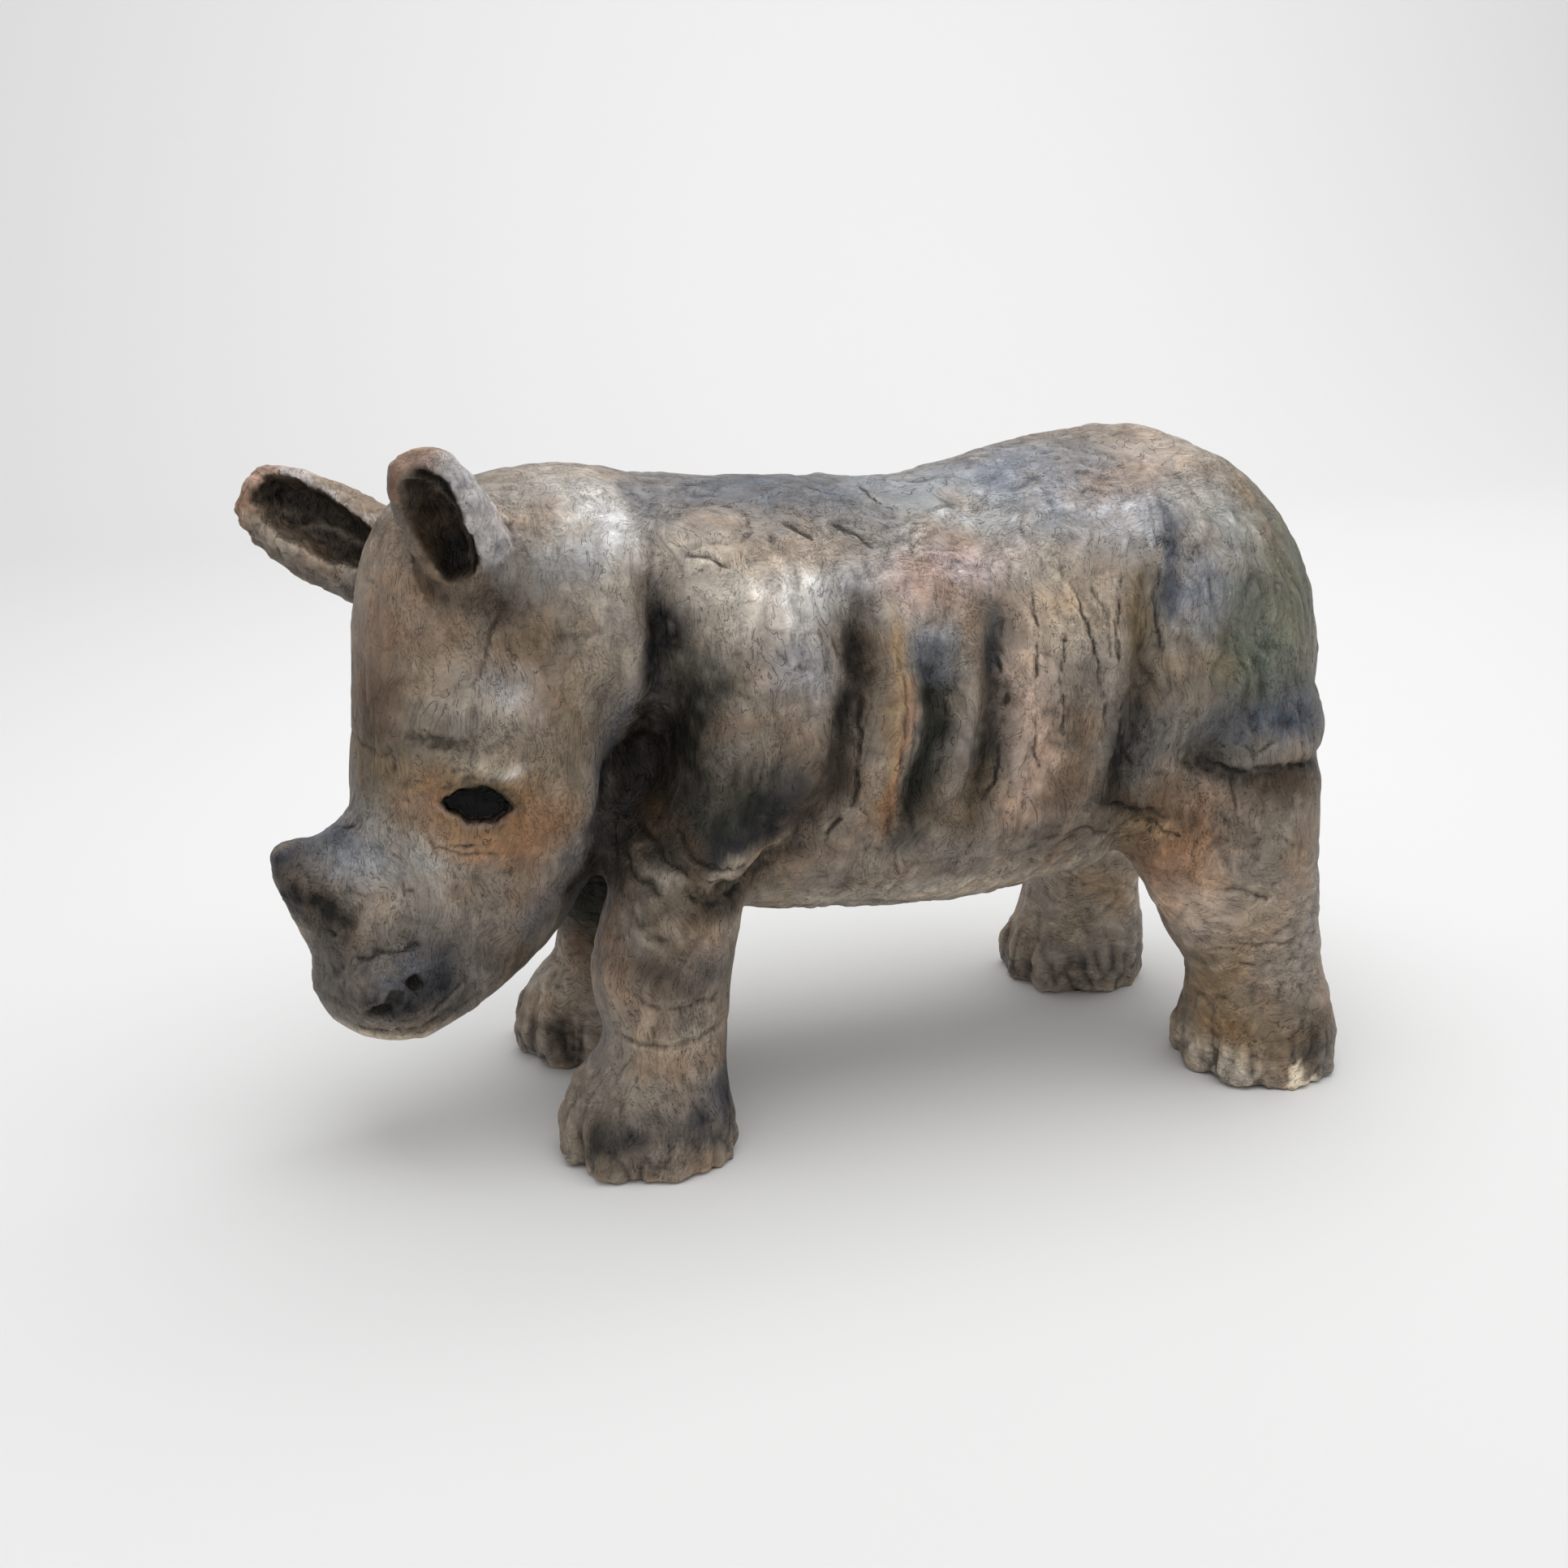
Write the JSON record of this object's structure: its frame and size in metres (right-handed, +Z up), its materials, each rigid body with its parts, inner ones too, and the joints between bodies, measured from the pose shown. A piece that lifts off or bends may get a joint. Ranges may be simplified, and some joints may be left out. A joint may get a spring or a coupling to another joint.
{
  "type": "rhinoceros figurine",
  "caption": "Standing rhinoceros calf figurine in painted papier-mache, head lowered and turned a little to its left, resting on its feet.",
  "frame": {"origin": "centre of the bounding box's base, on the floor between the feet", "axes": "+X from the head to the rump, +Y from the left flank to the right flank, +Z up"},
  "size_m": [0.6, 0.2462, 0.3556],
  "materials": {
    "painted_papier_mache": "taupe and blue-grey paint brushed over fibrous papier-mache, with a slight satin sheen"
  },
  "bodies": {
    "root": {"rhinoceros_figurine": "painted_papier_mache"}
  },
  "joints": []
}
